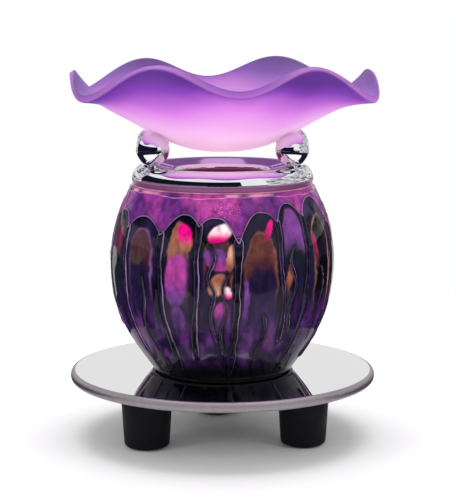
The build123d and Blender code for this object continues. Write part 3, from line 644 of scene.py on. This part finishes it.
def glaze_colours(points, angle, level, edge_gap, run_gap):
    """The colour of the glass under the beads at each point, with painted reflection, glow and
    shadow in it, and how much fine mottle it has.
    """
    drift = cloud(points, size=0.007)
    lift = cloud(points, size=0.008, offset=7.3)
    number, across, edge = scallop_at(angle)
    radius = body_radius_at(level)
    melted_level = level + 0.0018 * lift
    blot = cloud(points, size=0.016, stretch=(1, 1, 1.6), offset=3.1)
    smear = cloud(points, size=0.005, stretch=(1, 1, 7), offset=11.7)
    bloom = cloud(points, size=0.03, offset=19.4)

    # The magenta enamel above the edge
    band = blend(ease(blot + 0.4 * smear, -0.45, 0.5), plum, orchid)
    band = blend(0.45 * ease(bloom, 0, 0.6), band, bright_orchid)

    # The dark coat below it
    coat = blend(ease(bloom, -0.5, 0.4), ink, navy)
    coat = blend(ease(smear, 0.1, 0.7) * 0.5, coat, bottle)
    thinned = 0.75 * ease(edge_gap, 0.006, 0.0008) * ease(blot, -0.4, 0.5)
    coat = blend(thinned, coat, indigo)
    coat_mottle = np.full(len(points), 0.35)

    # The windows, each with a fine outline, partly painted reflection and stronger on one side
    width, drop, height, line, top, low = (np.array(column)[number] for column in zip(*windows_and_reflections))
    reach = np.abs(across + 0.1 * drift) / width
    depth = edge - melted_level
    sill = drop + 0.006 * np.clip(reach, 0, 2) ** 3
    inside = ease(depth - sill, -0.0006, 0.0006) * ease(reach, 1.06, 0.96)
    inside *= ease(depth, drop + height + 0.012, drop + height - 0.006)
    fall = depth - drop
    pane = blend(ease(fall, 0.009, 0.019), top, low)
    pane = blend(0.5 * ease(smear, -0.2, 0.7), pane, pane * 0.55)
    outline = 0.7 * np.exp(-((depth - sill - 0.0002) / 0.0007) ** 2) * (reach < 1.0)
    side_line = np.exp(-((reach - 0.97) * width * 0.011 / 0.0006) ** 2)
    side_line *= ease(depth, drop + 0.003, drop + 0.006)
    side_line *= ease(depth, drop + height, drop + height * 0.45)
    side_line *= 0.35 + 0.65 * ease(across, -0.2, 0.2)
    rim = np.clip(outline + 0.8 * side_line, 0, 1) * (0.45 + 0.55 * ease(smear + bloom, -0.5, 0.6))
    coat = blend(inside, coat, pane)
    coat = blend(0.85 * rim, coat, line)
    coat_mottle = np.maximum(coat_mottle, 0.7 * inside)

    # The chips, partly painted glow
    for place, height, half_width, half_height, lean, upper, lower in chips_and_glow:
        along = (level + 0.0008 * lift - height) / half_height
        aside = (angle + 0.9 * drift - place + 180) % 360 - 180
        aside = np.radians(aside) * radius / half_width + lean * along * half_height / half_width
        away = (np.abs(along) ** 2.6 + np.abs(aside) ** 2.6) ** (1 / 2.6)
        tint = blend(ease(along, 0.35, -0.75), upper, lower)
        share = ease(away, 1.1, 0.88)
        coat = blend(share, coat, tint)
        coat_mottle = np.maximum(coat_mottle, share * 0.8)

    # The streaked foot
    foot_zone = ease(melted_level, 0.082, 0.06)
    streaks = blend(ease(smear, -0.35, 0.5), navy, np.array(violet) * 0.62)
    streaks = blend(ease(smear + bloom, 0.55, 1) * 0.6, streaks, wine)
    streaks = blend(ease(level, 0.05, 0.039), streaks, ink)
    coat = blend(0.88 * foot_zone, coat, streaks)

    # Both get a painted shadow close to a bead
    under = ease(edge_gap, -0.0002, 0.0002)
    shadow = ease(np.minimum(np.abs(edge_gap), run_gap), 0.0003, 0.0016)
    coat = blend(shadow, coat * 0.25, coat)
    band_shadow = ease(np.minimum(-edge_gap, run_gap), 0.0002, 0.0012)
    band = blend(band_shadow, band * 0.55, band)
    colour = blend(under, band, coat)
    return colour, 1 - under + coat_mottle * under


def ring_faces(rows, around, closed=False):
    """Faces between rows of points that each run round the object, row by row."""
    column = np.arange(around)
    following = (column + 1) % around
    faces = []
    for row in range(rows if closed else rows - 1):
        here, above = row * around, (row + 1) % rows * around
        faces.append(np.stack([here + column, here + following, above + following, above + column], 1))
    return np.concatenate(faces).tolist()


def keep_in(mesh, name, values):
    """Keeps a value, or a colour and its alpha, at each point of a mesh under a name."""
    kind, field = ("FLOAT_COLOR", "color") if values.shape[-1] == 4 else ("FLOAT", "value")
    mesh.attributes.new(name, kind, "POINT").data.foreach_set(field, values.ravel())


def blown_body():
    """The shell in rings of points: the outside with its trails, the rounded rims, a plain inside."""
    levels = np.linspace(body_low.z + rim_round, body_high.z - rim_round, up_count)
    radii = body_radius_at(levels)
    turn = 2 * pi * np.arange(around_count) / around_count

    def rounding(radius, level, start, steps):
        swings = [start + step * pi / (2 * rim_rows) for step in steps]
        return [(radius + rim_round * cos(swing), level + rim_round * sin(swing)) for swing in swings]

    profile = rounding(radii[0] - rim_round, levels[0], -pi / 2, range(rim_rows))
    first_outer = len(profile)
    profile += zip(radii, levels)
    last_outer = len(profile)
    profile += rounding(radii[-1] - rim_round, levels[-1], 0, range(1, rim_rows + 1))
    profile += rounding(radii[-1] - body_wall + rim_round, levels[-1], pi / 2, range(rim_rows + 1))
    inner_levels = np.linspace(levels[-1], levels[0], inner_rows + 2)[1:-1]
    profile += zip(body_radius_at(inner_levels) - body_wall, inner_levels)
    profile += rounding(radii[0] - body_wall + rim_round, levels[0], pi, range(rim_rows + 1))
    profile = np.array(profile)
    rows = len(profile)

    points = np.empty((rows, around_count, 3))
    points[..., 0] = np.outer(profile[:, 0], np.cos(turn))
    points[..., 1] = np.outer(profile[:, 0], np.sin(turn))
    points[..., 2] = profile[:, 1:]

    outer = points[first_outer:last_outer].reshape(-1, 3)
    turns = np.tile(turn, up_count)
    angle = np.degrees(turns)
    level = np.repeat(levels, around_count)
    _, _, edge = scallop_at(angle)
    edge_gap, edge_width, _ = nearest_line(outer, *edge_line(), 1)
    run_gap, run_width, run_side = nearest_line(outer, *run_lines(), 3)
    signed_gap = np.where(level < edge, edge_gap + edge_width, -edge_gap - edge_width)
    colours, mottle = glaze_colours(outer, angle, level, signed_gap, run_gap)

    ridge = edge_width * edge_bead_share * np.sqrt(1 - (1 - np.clip(-edge_gap / edge_width, 0, 1)) ** 2)
    bead = run_width * run_bead_share * np.sqrt(1 - (1 - np.clip(-run_gap / run_width, 0, 1)) ** 2)
    lift = np.maximum(ridge, bead)
    coated = ease(edge - level, -0.0006, 0.0006)
    lift += coat_height * coated * ease(level, 0.04, 0.06)
    lift += blown_waver * wander(turns * 4 + 30 * level, 31, 6)
    across_slope = np.repeat(np.gradient(radii, levels), around_count)
    length = np.sqrt(1 + across_slope ** 2)
    calm = ease(level, levels[0], levels[0] + calm_reach)
    lift *= calm * ease(-level, -levels[-1], -levels[-1] + calm_reach)
    outer[:, 0] += lift * np.cos(turns) / length
    outer[:, 1] += lift * np.sin(turns) / length
    outer[:, 2] -= lift * across_slope / length
    points[first_outer:last_outer] = outer.reshape(up_count, around_count, 3)

    mesh = bpy.data.meshes.new("blown_body")
    mesh.from_pydata(points.reshape(-1, 3).tolist(), [], ring_faces(rows, around_count, closed=True))
    mesh.shade_smooth()

    def keep(name, within, values):
        """Keeps values on the outer face, carried on over its two rims, with another value within."""
        whole = np.tile(np.asarray(within, float), (rows, around_count, 1))
        shown = values.reshape(up_count, around_count, -1)
        whole[:first_outer] = shown[0]
        whole[-rim_rows:] = shown[0]
        whole[first_outer:last_outer] = shown
        whole[last_outer:last_outer + rim_rows] = shown[-1]
        keep_in(mesh, name, whole)

    keep("edge_gap", [-20.0], signed_gap * 1000)
    keep("run_gap", [20.0], run_gap * 1000)
    # A painted highlight, mostly on one side of each wider run, fading out towards the foot
    lit_side = ease(run_side / run_width, -0.9, 0.9) * ease(run_width, 0.0005, 0.0009)
    keep("run_painted_highlight", [0.0], (0.15 + 0.85 * lit_side) * ease(level, 0.036, 0.06))
    # Where the wavering pink line of painted glow runs under the top rim
    wave = glow_line_level + glow_line_waver * wander(turns * 5, 41, 6)
    keep("glow_line_gap", [20.0], np.abs(level - wave) * 1000)
    aside = np.abs((angle - spangle_angle + 180) % 360 - 180)
    off_patch = aside / spangle_half_angle + np.abs(level - spangle_level) / spangle_half_height
    keep("spangle", [0.0], ease(off_patch, 1.2, 0.2))
    keep("glaze", [*inner_glow, 0.0], np.column_stack([colours, mottle]))
    return put("blown_body", mesh)


# The inside wall is coloured pink as painted glow of the lamp
inner_glow = (0.62, 0.2, 0.48)
painted_highlight_violet = (0.32, 0.21, 0.4)
lip_glow_pink = (0.8, 0.34, 0.46)
speck_pink = (0.85, 0.22, 0.42)
glow_line_level = 0.1237
glow_line_waver = 0.0005
spangle_angle, spangle_half_angle = 271, 14
spangle_level, spangle_half_height = 0.1185, 0.006

glass = new_finish("trailed_art_glass", plum, 0.06)
tune(glass, IOR=1.25)


def kept_in(finish, name):
    """A value or colour kept in the mesh under a name."""
    kept = add_node(finish, "Attribute")
    kept.attribute_name = name
    return kept.outputs


glaze = kept_in(glass, "glaze")
edge_gap = kept_in(glass, "edge_gap")["Fac"]
run_gap = kept_in(glass, "run_gap")["Fac"]
run_painted_highlight = kept_in(glass, "run_painted_highlight")["Fac"]
glow_line_gap = kept_in(glass, "glow_line_gap")["Fac"]
spangle = kept_in(glass, "spangle")["Fac"]


def combined_in(finish, operation, first, second):
    """Two values added or multiplied."""
    result = add_node(finish, "Math", i0=first, i1=second)
    result.operation = operation
    return result.outputs[0]


def times(finish, first, second):
    return combined_in(finish, "MULTIPLY", first, second)


def band_in(finish, value, rise_from, rise_to, fall_from, fall_to):
    """0 outside and 1 inside a band of a value, with soft sides."""
    rise = range_in(finish, value, rise_from, rise_to, 0, 1)
    return times(finish, rise, range_in(finish, value, fall_from, fall_to, 1, 0))


# The glaze with its mottle, a patch of pink specks and a pink line of painted glow under the top rim
grainy = spread_in(glass, 0.55, 1.45, 330, 6.0, (1, 1, 0.6))
mottled = mix_in(glass, glaze["Alpha"], (1, 1, 1), grainy)
glazed = mix_in(glass, 1, glaze["Color"], mottled, "MULTIPLY")
specks = range_in(glass, noise_in(glass, 1300, 1), 0.6, 0.68, 0, 0.9)
glazed = mix_in(glass, times(glass, specks, spangle), glazed, speck_pink)
glow_line = range_in(glass, glow_line_gap, 0.1, 0.34, 0.95, 0)
uneven = range_in(glass, noise_in(glass, 90), 0.3, 0.6, 0.45, 1)
glazed = mix_in(glass, times(glass, glow_line, uneven), glazed, lip_glow_pink)

# The dark runs over it, and a broken line of painted highlight along them and the scalloped edge
on_run = range_in(glass, run_gap, -0.05, 0.15, 1, 0)
run_colour = ramp_in(glass, noise_in(glass, 120), [(0.35, ink), (0.7, navy)])
outlined = mix_in(glass, on_run, glazed, run_colour)
flash = range_in(glass, noise_in(glass, 70, 2), 0.36, 0.6, 0.25, 1)
run_highlight_line = times(glass, band_in(glass, run_gap, -0.36, -0.1, 0.06, 0.3), flash)
outlined = mix_in(glass, times(glass, run_highlight_line, run_painted_highlight), outlined, painted_highlight_violet)
edge_highlight = times(glass, band_in(glass, edge_gap, -0.26, -0.08, 0.12, 0.36), flash)
connect(glass, mix_in(glass, edge_highlight, outlined, painted_highlight_violet), "Base Color")
bump(glass, noise_in(glass, 55, 2), 0.0005, 0.5)
connect(glass, spread_in(glass, 0.04, 0.1, 140), "Roughness")

blown = blown_body()
blown.data.materials.append(glass)
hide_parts("glass_body")
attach(blown, "warmer")

# Frame and gaskets: a steel rod plate in the body's foot, three tie rods and their nuts draw the
# collar down on the glass, which stands between a black rubber ring and a clear silicone one,
# coloured pink as painted lamp glow.

silicone_glow_pink = (0.72, 0.28, 0.42)

dress(zinc_steel, "rod_plate", "tie_rods", "rod_nuts")
dress(tread_rubber, "body_foot_gasket")
silicone = new_finish("clear_silicone", silicone_glow_pink, 0.4)
tune(silicone, Subsurface_Weight=0.3, Subsurface_Scale=0.002)
connect(silicone, patches_in(silicone, silicone_glow_pink, 180, 0.7, 1.35), "Base Color")
dress(silicone, "body_top_gasket")

# Collar and ball posts: a ring spun from brass sheet and four turned balls, all chrome-plated and
# polished. The posts pass through the ring and are held by nuts underneath.

chrome_grey = (0.8, 0.8, 0.82)
hem_reflection_mauve = (0.24, 0.065, 0.19)
# The heights where the painted mauve reflection on the collar's hem is full and where it ends
hem_full, hem_end = 0.1282, 0.129

chrome = new_finish("polished_chrome", chrome_grey, 0.035, 1.0)
plated = patches_in(chrome, chrome_grey, 70, 0.96, 1.03)
# The collar's hem is a mauve satin strip that is a painted reflection
on_hem = range_in(chrome, axes_in(chrome)[2], hem_full, hem_end, 1, 0)
connect(chrome, range_in(chrome, on_hem, 0, 1, 1, 0.25), "Metallic")
connect(chrome, mix_in(chrome, on_hem, plated, hem_reflection_mauve), "Base Color")
polish = spread_in(chrome, 0.02, 0.06, 300, 4.0)
haze = range_in(chrome, on_hem, 0, 1, 0, 0.28)
connect(chrome, combined_in(chrome, "ADD", polish, haze), "Roughness")
dress(chrome, "collar_ring", "ball_post_left", "ball_post_right")
dress(chrome, "ball_post_rear_left", "ball_post_rear_right")
dress(zinc_steel, "post_nuts")

# Dish: a slumped sheet of tinted glass with a rim drawn into six waves, acid-frosted all over. It
# lies loose on the balls. Its colour pales towards the middle, partly its own tint and partly painted
# glow of the lamp shining through, and it gives off painted glow there too.

dish_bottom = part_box("dish")[0].z
bowl_radius = 0.0702
bowl_reach = 0.0372
dish_wall = 0.0036
rim_radius = 0.076
rim_height = 0.034
flat_radius = 0.005
wave_count = 6
wave_turn = 5.5
wave_reach = 0.0019
wave_height = 0.0068
saddle_height = 0.0027
rim_slope = 30.0
rim_slope_swing = 26.0
bowl_pull = 0.055
rim_pull = 0.058
dish_around = 480
bowl_rows = 11
wall_rows = 44
rim_edge_round = 0.0011
rim_steps = 6
crest_tint = 0.09
# How far the outside runs near the rim while the share grows by 1
rim_run = 0.055


def dish_outside(share, angle):
    """Points of the dish's outside, at shares from -1 at the flat over 0 at the bowl's end to 1 at the
    rim. The bowl is round, and from its end the wall swings over to the waves' own slope."""
    bowl_slope = asin(bowl_reach / bowl_radius)
    flat_slope = asin(flat_radius / bowl_radius)
    slope = bowl_slope + (bowl_slope - flat_slope) * np.minimum(share, 0)
    share_out = np.maximum(share, 0)
    wave = np.cos(np.radians(wave_count * (angle - wave_turn)))
    rim_angle = np.radians(rim_slope + rim_slope_swing * wave)
    radius_out = rim_radius - wave_reach * wave
    level_out = rim_height + wave_height * wave - saddle_height * np.cos(np.radians(2 * angle))
    bowl_level = bowl_radius * (1 - cos(bowl_slope))
    leave = share_out ** 3 - 2 * share_out ** 2 + share_out
    arrive = share_out ** 3 - share_out ** 2
    end = 3 * share_out ** 2 - 2 * share_out ** 3
    radius = (1 - end) * bowl_reach + end * radius_out
    radius = radius + leave * bowl_pull * cos(bowl_slope) + arrive * rim_pull * np.cos(rim_angle)
    level = (1 - end) * bowl_level + end * level_out
    level = level + leave * bowl_pull * sin(bowl_slope) + arrive * rim_pull * np.sin(rim_angle)
    radius = np.where(share <= 0, bowl_radius * np.sin(slope), radius)
    level = np.where(share <= 0, bowl_radius * (1 - np.cos(slope)), level)
    turn = np.radians(angle)
    return np.stack([radius * np.cos(turn), radius * np.sin(turn), dish_bottom + level], -1)


def dish_surface(shares, angles, depth):
    """Points of the dish at a depth in its wall, row by row from the flat to the rim."""
    share, angle = np.meshgrid(shares, angles, indexing="ij")
    here = dish_outside(share, angle)
    along = here - dish_outside(share - 0.001, angle)
    around = dish_outside(share, angle + 0.01) - here
    square = np.cross(along, around)
    square /= np.linalg.norm(square, axis=-1, keepdims=True)
    return here + square * np.broadcast_to(depth, share.shape)[..., None]


def frosted_dish():
    """Outside, rounded rim and inside as one closed sheet, with a fan at each end of the flat."""
    angles = 360 * np.arange(dish_around) / dish_around
    shares = np.concatenate([np.linspace(-1, 0, bowl_rows + 1)[:-1], np.linspace(0, 1, wall_rows)])
    inward = rim_edge_round / rim_run
    swings = [pi / 2 * step / rim_steps for step in range(rim_steps + 1)]
    rounding = [(sin(swing), rim_edge_round * (1 - cos(swing))) for swing in swings]
    rounding += [(cos(swing), dish_wall - rim_edge_round * (1 - sin(swing))) for swing in swings]
    rows = [dish_surface(shares[:-1], angles, 0.0)]
    rows += [dish_surface([1 - inward + inward * out], angles, depth) for out, depth in rounding]
    rows.append(dish_surface(shares[:-1][::-1], angles, dish_wall))
    grid = np.concatenate(rows)
    count = len(grid)
    points = grid.reshape(-1, 3).tolist()
    points.append([0, 0, float(grid[0, :, 2].mean())])
    points.append([0, 0, float(grid[-1, :, 2].mean())])
    faces = ring_faces(count, dish_around)
    last_row = (count - 1) * dish_around
    for column in range(dish_around):
        following = (column + 1) % dish_around
        faces.append((column, len(points) - 2, following))
        faces.append((last_row + following, len(points) - 1, last_row + column))
    mesh = bpy.data.meshes.new("frosted_dish")
    mesh.from_pydata(points, [], faces)
    mesh.shade_smooth()
    spots = np.array(points)
    reach = np.hypot(spots[:, 0], spots[:, 1]) / rim_radius
    wave = np.cos(wave_count * (np.arctan2(spots[:, 1], spots[:, 0]) - radians(wave_turn)))
    # The tint follows how far out a point is, and comes sooner on a wave's crest
    keep_in(mesh, "tint_place", reach + crest_tint * wave * reach ** 3)
    # The other two change over a few rows round the rim
    rows_in = np.arange(count) - len(rows[0]) - rim_steps - 1
    inside = np.clip((rows_in + 4) / 8, 0, 1)
    keep_in(mesh, "inside", np.append(np.repeat(inside, dish_around), [0, 1]))
    rounded = np.clip(1 - np.abs(rows_in + 2) / 5, 0, 1)
    keep_in(mesh, "rounded", np.append(np.repeat(rounded, dish_around), [0, 0]))
    return put("frosted_dish", mesh)


pale_pink = (0.93, 0.68, 0.86)
rose_lilac = (0.8, 0.52, 0.82)
dish_orchid = (0.56, 0.19, 0.7)
dish_violet = (0.195, 0.042, 0.45)
dish_purple = (0.12, 0.028, 0.3)
lamp_glow = (0.34, 0.27, 0.31)
bowl_glow = (0.24, 0.17, 0.22)
side_glow = (0.19, 0.06, 0.19)
wave_glow = (0.08, 0.012, 0.1)
no_glow = (0.0, 0.0, 0.0)
dish_rim_highlight = (0.52, 0.24, 0.66)
inside_tint = (0.6, 0.5, 0.62)

frosted = new_finish("acid_frosted_glass", dish_violet, 0.42)
# The tint pales towards the middle, partly as painted glow of the lamp
drift = spread_in(frosted, -0.04, 0.04, 22, 2.0)
outward = combined_in(frosted, "ADD", kept_in(frosted, "tint_place")["Fac"], drift)
tint = ramp_in(frosted, outward, [(0.22, pale_pink), (0.48, rose_lilac), (0.76, dish_orchid),
                                  (0.92, dish_violet), (1.0, dish_purple)])
on_inside = kept_in(frosted, "inside")["Fac"]
sided = mix_in(frosted, on_inside, tint, mix_in(frosted, 1, tint, inside_tint, "MULTIPLY"))
# The rounded rim is painted lighter, as a painted highlight
rim_highlight_share = range_in(frosted, kept_in(frosted, "rounded")["Fac"], 0.2, 0.9, 0, 0.55)
connect(frosted, mix_in(frosted, rim_highlight_share, sided, dish_rim_highlight), "Base Color")
# Painted glow given off as emission: on the outside it is strongest in the middle, and the inside glows a
# little all over
glow = ramp_in(frosted, outward, [(0.1, lamp_glow), (0.45, bowl_glow), (0.74, side_glow),
                                  (0.88, wave_glow), (0.97, no_glow)])
connect(frosted, mix_in(frosted, on_inside, glow, shade(lamp_glow, 0.15)), "Emission Color")
bump(frosted, noise_in(frosted, 3000), 0.00003)
tune(frosted, Emission_Strength=1.0, Transmission_Weight=0.12, Subsurface_Weight=0.35,
     Subsurface_Scale=0.01, IOR=1.28)

dish = frosted_dish()
dish.data.materials.append(frosted)
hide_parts("dish")
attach(dish, "dish")

# Table and light: a plain pale surface in a white room, a wide light overhead and one at each side.
# Dark and tinted cards out of sight give polished metal and dark glass something to mirror.

camera_distance = 0.78
camera_height = 0.2124
camera_pitch = 8.688
focal_pixels = 1605.7
image_long_side = 498
axis_offset_pixels = 5.5

camera_data = bpy.data.cameras.new("camera")
camera = put("camera", camera_data)
camera.location = (0, -camera_distance, camera_height)
camera.rotation_euler = (radians(90 - camera_pitch), 0, 0)
camera_data.sensor_width = 36
camera_data.lens = focal_pixels * camera_data.sensor_width / image_long_side
camera_data.shift_x = axis_offset_pixels / image_long_side
camera_data.clip_start = 0.01
camera_data.clip_end = 20
scene.camera = camera


def panel_light(name, size, power, place):
    """A light panel turned to the object's middle."""
    light = bpy.data.lights.new(name, "AREA")
    light.shape = "RECTANGLE"
    light.size, light.size_y = size
    light.energy = power
    lamp = put(name, light)
    lamp.location = place
    lamp.rotation_euler = (Vector((0, 0, 0.1)) - Vector(place)).to_track_quat("-Z", "Y").to_euler()
    return lamp


panel_light("light_over", (0.9, 0.7), 8.0, (0.0, 0.1, 1.1))
panel_light("light_left", (0.12, 0.5), 1.5, (-0.75, -0.55, 0.45)).visible_glossy = False
panel_light("light_right", (0.12, 0.5), 1.3, (0.75, -0.55, 0.45)).visible_glossy = False

bulb_light = bpy.data.lights.new("bulb_light", "POINT")
bulb_light.energy = 0.02
bulb_light.color = (1.0, 0.8, 0.86)
bulb_light.shadow_soft_size = 0.003
bulb_lamp = put("bulb_light", bulb_light)
bulb_lamp.location = (0, 0, 0.117)
bulb_lamp.visible_glossy = False


def seen_rays(tree):
    """1 for rays that the eye sees, straight, in a mirror or through glass, and 0 for those that only
    light things."""
    path = tree.nodes.new("ShaderNodeLightPath")
    total = path.outputs["Is Camera Ray"]
    for kind in ("Is Glossy Ray", "Is Transmission Ray"):
        either = tree.nodes.new("ShaderNodeMath")
        either.operation = "MAXIMUM"
        tree.links.new(total, either.inputs[0])
        tree.links.new(path.outputs[kind], either.inputs[1])
        total = either.outputs[0]
    return total


def plain_sheet(name, corners, colour, faces=None):
    """A sheet of the studio: one face with all the corners, or the faces given."""
    mesh = bpy.data.meshes.new(name)
    mesh.from_pydata(corners, [], faces or [tuple(range(len(corners)))])
    sheet = put(name, mesh)
    cover = new_finish(name, colour, 0.9)
    tune(cover, Specular_IOR_Level=0.0)
    mesh.materials.append(cover)
    return sheet


# The floor is white paper: it takes the object's shadow close by, and runs into the white room
floor_white = (0.9, 0.9, 0.9)
floor_half = 6
shadow_reach = (0.16, 0.42)
floor_corners = [(x * floor_half, y * floor_half, 0) for x, y in ((-1, -1), (1, -1), (1, 1), (-1, 1))]
floor = plain_sheet("floor", floor_corners, floor_white)
paper = floor.data.materials[0]
far = range_in(paper, reach_in(paper, place_in(paper)), *shadow_reach, 0, 1)
far_seen = times(paper, far, seen_rays(paper.node_tree))
room_white = add_node(paper, "Emission", Color=(1, 1, 1, 1), Strength=1.0)
run_out = add_node(paper, "MixShader", i0=far_seen, i1=shader_of(paper).outputs[0],
                   i2=room_white.outputs[0])
fill(paper, paper.node_tree.nodes["Material Output"].inputs["Surface"], run_out.outputs[0])

card_dark = (0.006, 0.006, 0.008)
card_navy = (0.01, 0.008, 0.022)
card_mauve = (0.16, 0.1, 0.17)
card_lilac = (0.62, 0.36, 0.68)
card_plum = (0.2, 0.09, 0.26)
card_black = (0.035, 0.033, 0.04)
card_grey = (0.52, 0.5, 0.54)
card_white = (0.9, 0.89, 0.92)
card_height = 0.16
card_lift = 0.0006
near = 0.14


def card(name, corners, colour=card_dark, faces=None):
    """A sheet that only mirrors and polished faces see."""
    sheet = plain_sheet(name, corners, colour, faces)
    sheet.visible_camera = sheet.visible_diffuse = False
    sheet.visible_shadow = sheet.visible_transmission = False
    return sheet


def bent_card(name, low_edge, high_edge, start, end, colour):
    """A strip of card bent round the object between two directions in degrees, with a fold every 4,
    its edges given by radius and height."""
    corners = []
    steps = int((end - start) / 4)
    for step in range(steps + 1):
        turn = radians(start + (end - start) * step / steps)
        for radius, level in (low_edge, high_edge):
            corners.append((radius * cos(turn), radius * sin(turn), level))
    return card(name, corners, colour, [(2 * i, 2 * i + 2, 2 * i + 3, 2 * i + 1) for i in range(steps)])


def flat_card(name, first, second):
    """An upright card between two spots on the floor."""
    card(name, [(*first, 0.0), (*second, 0.0), (*second, card_height), (*first, card_height)])


def streaky_card(name, start, end):
    """A near card that shows soft streaks from black to white, whatever light falls on it."""
    cover = bent_card(name, (near, 0.118), (near, 0.212), start, end, card_grey).data.materials[0]
    stops = [(0.36, card_black), (0.44, card_grey), (0.6, card_white)]
    streaks = ramp_in(cover, noise_in(cover, 32, 2, (1, 1, 2.6), 1), stops)
    connect(cover, streaks, "Emission Color")
    tune(cover, Emission_Strength=1.0, Base_Color=(0, 0, 0, 1))


bent_card("card_low_round", (1.0, 0.0), (1.0, 0.14), -180, 180, card_mauve)
bent_card("card_floor", (0.3, card_lift), (1.3, card_lift), -230, 50, card_navy)
bent_card("card_front_near", (near, 0.13), (near, 0.192), 162, 290, card_navy)
streaky_card("card_end_left", 112, 162)
streaky_card("card_end_right", 320, 428)
bent_card("card_floor_right", (0.11, card_lift), (0.3, card_lift), -20, 80, card_navy)
bent_card("card_floor_left", (0.11, card_lift), (0.3, card_lift), 100, 200, card_navy)
strip_levels = (0.136, 0.149, 0.154, 0.164, 0.169, 0.193, 0.226)
for strip, (low, high) in enumerate(zip(strip_levels, strip_levels[1:])):
    colour = card_lilac if strip % 2 else card_plum
    bent_card(f"card_back_{strip}", (near, low), (near, high), 70, 110, colour)
flat_card("card_left", (-1, -0.35), (-1, 3.6))
flat_card("card_right", (1, -0.35), (1, 3.6))
flat_card("card_front", (-0.9, -0.95), (0.35, -0.95))

world = bpy.data.worlds.new("room")
scene.world = world
world.use_nodes = True
sky = world.node_tree
strength = sky.nodes.new("ShaderNodeMapRange")
sky.links.new(seen_rays(sky), strength.inputs["Value"])
strength.inputs["To Min"].default_value = 0.82
strength.inputs["To Max"].default_value = 1.0
background = sky.nodes["Background"]
background.inputs["Color"].default_value = (1, 1, 1, 1)
sky.links.new(strength.outputs[0], background.inputs["Strength"])

scene.view_settings.view_transform = "Standard"
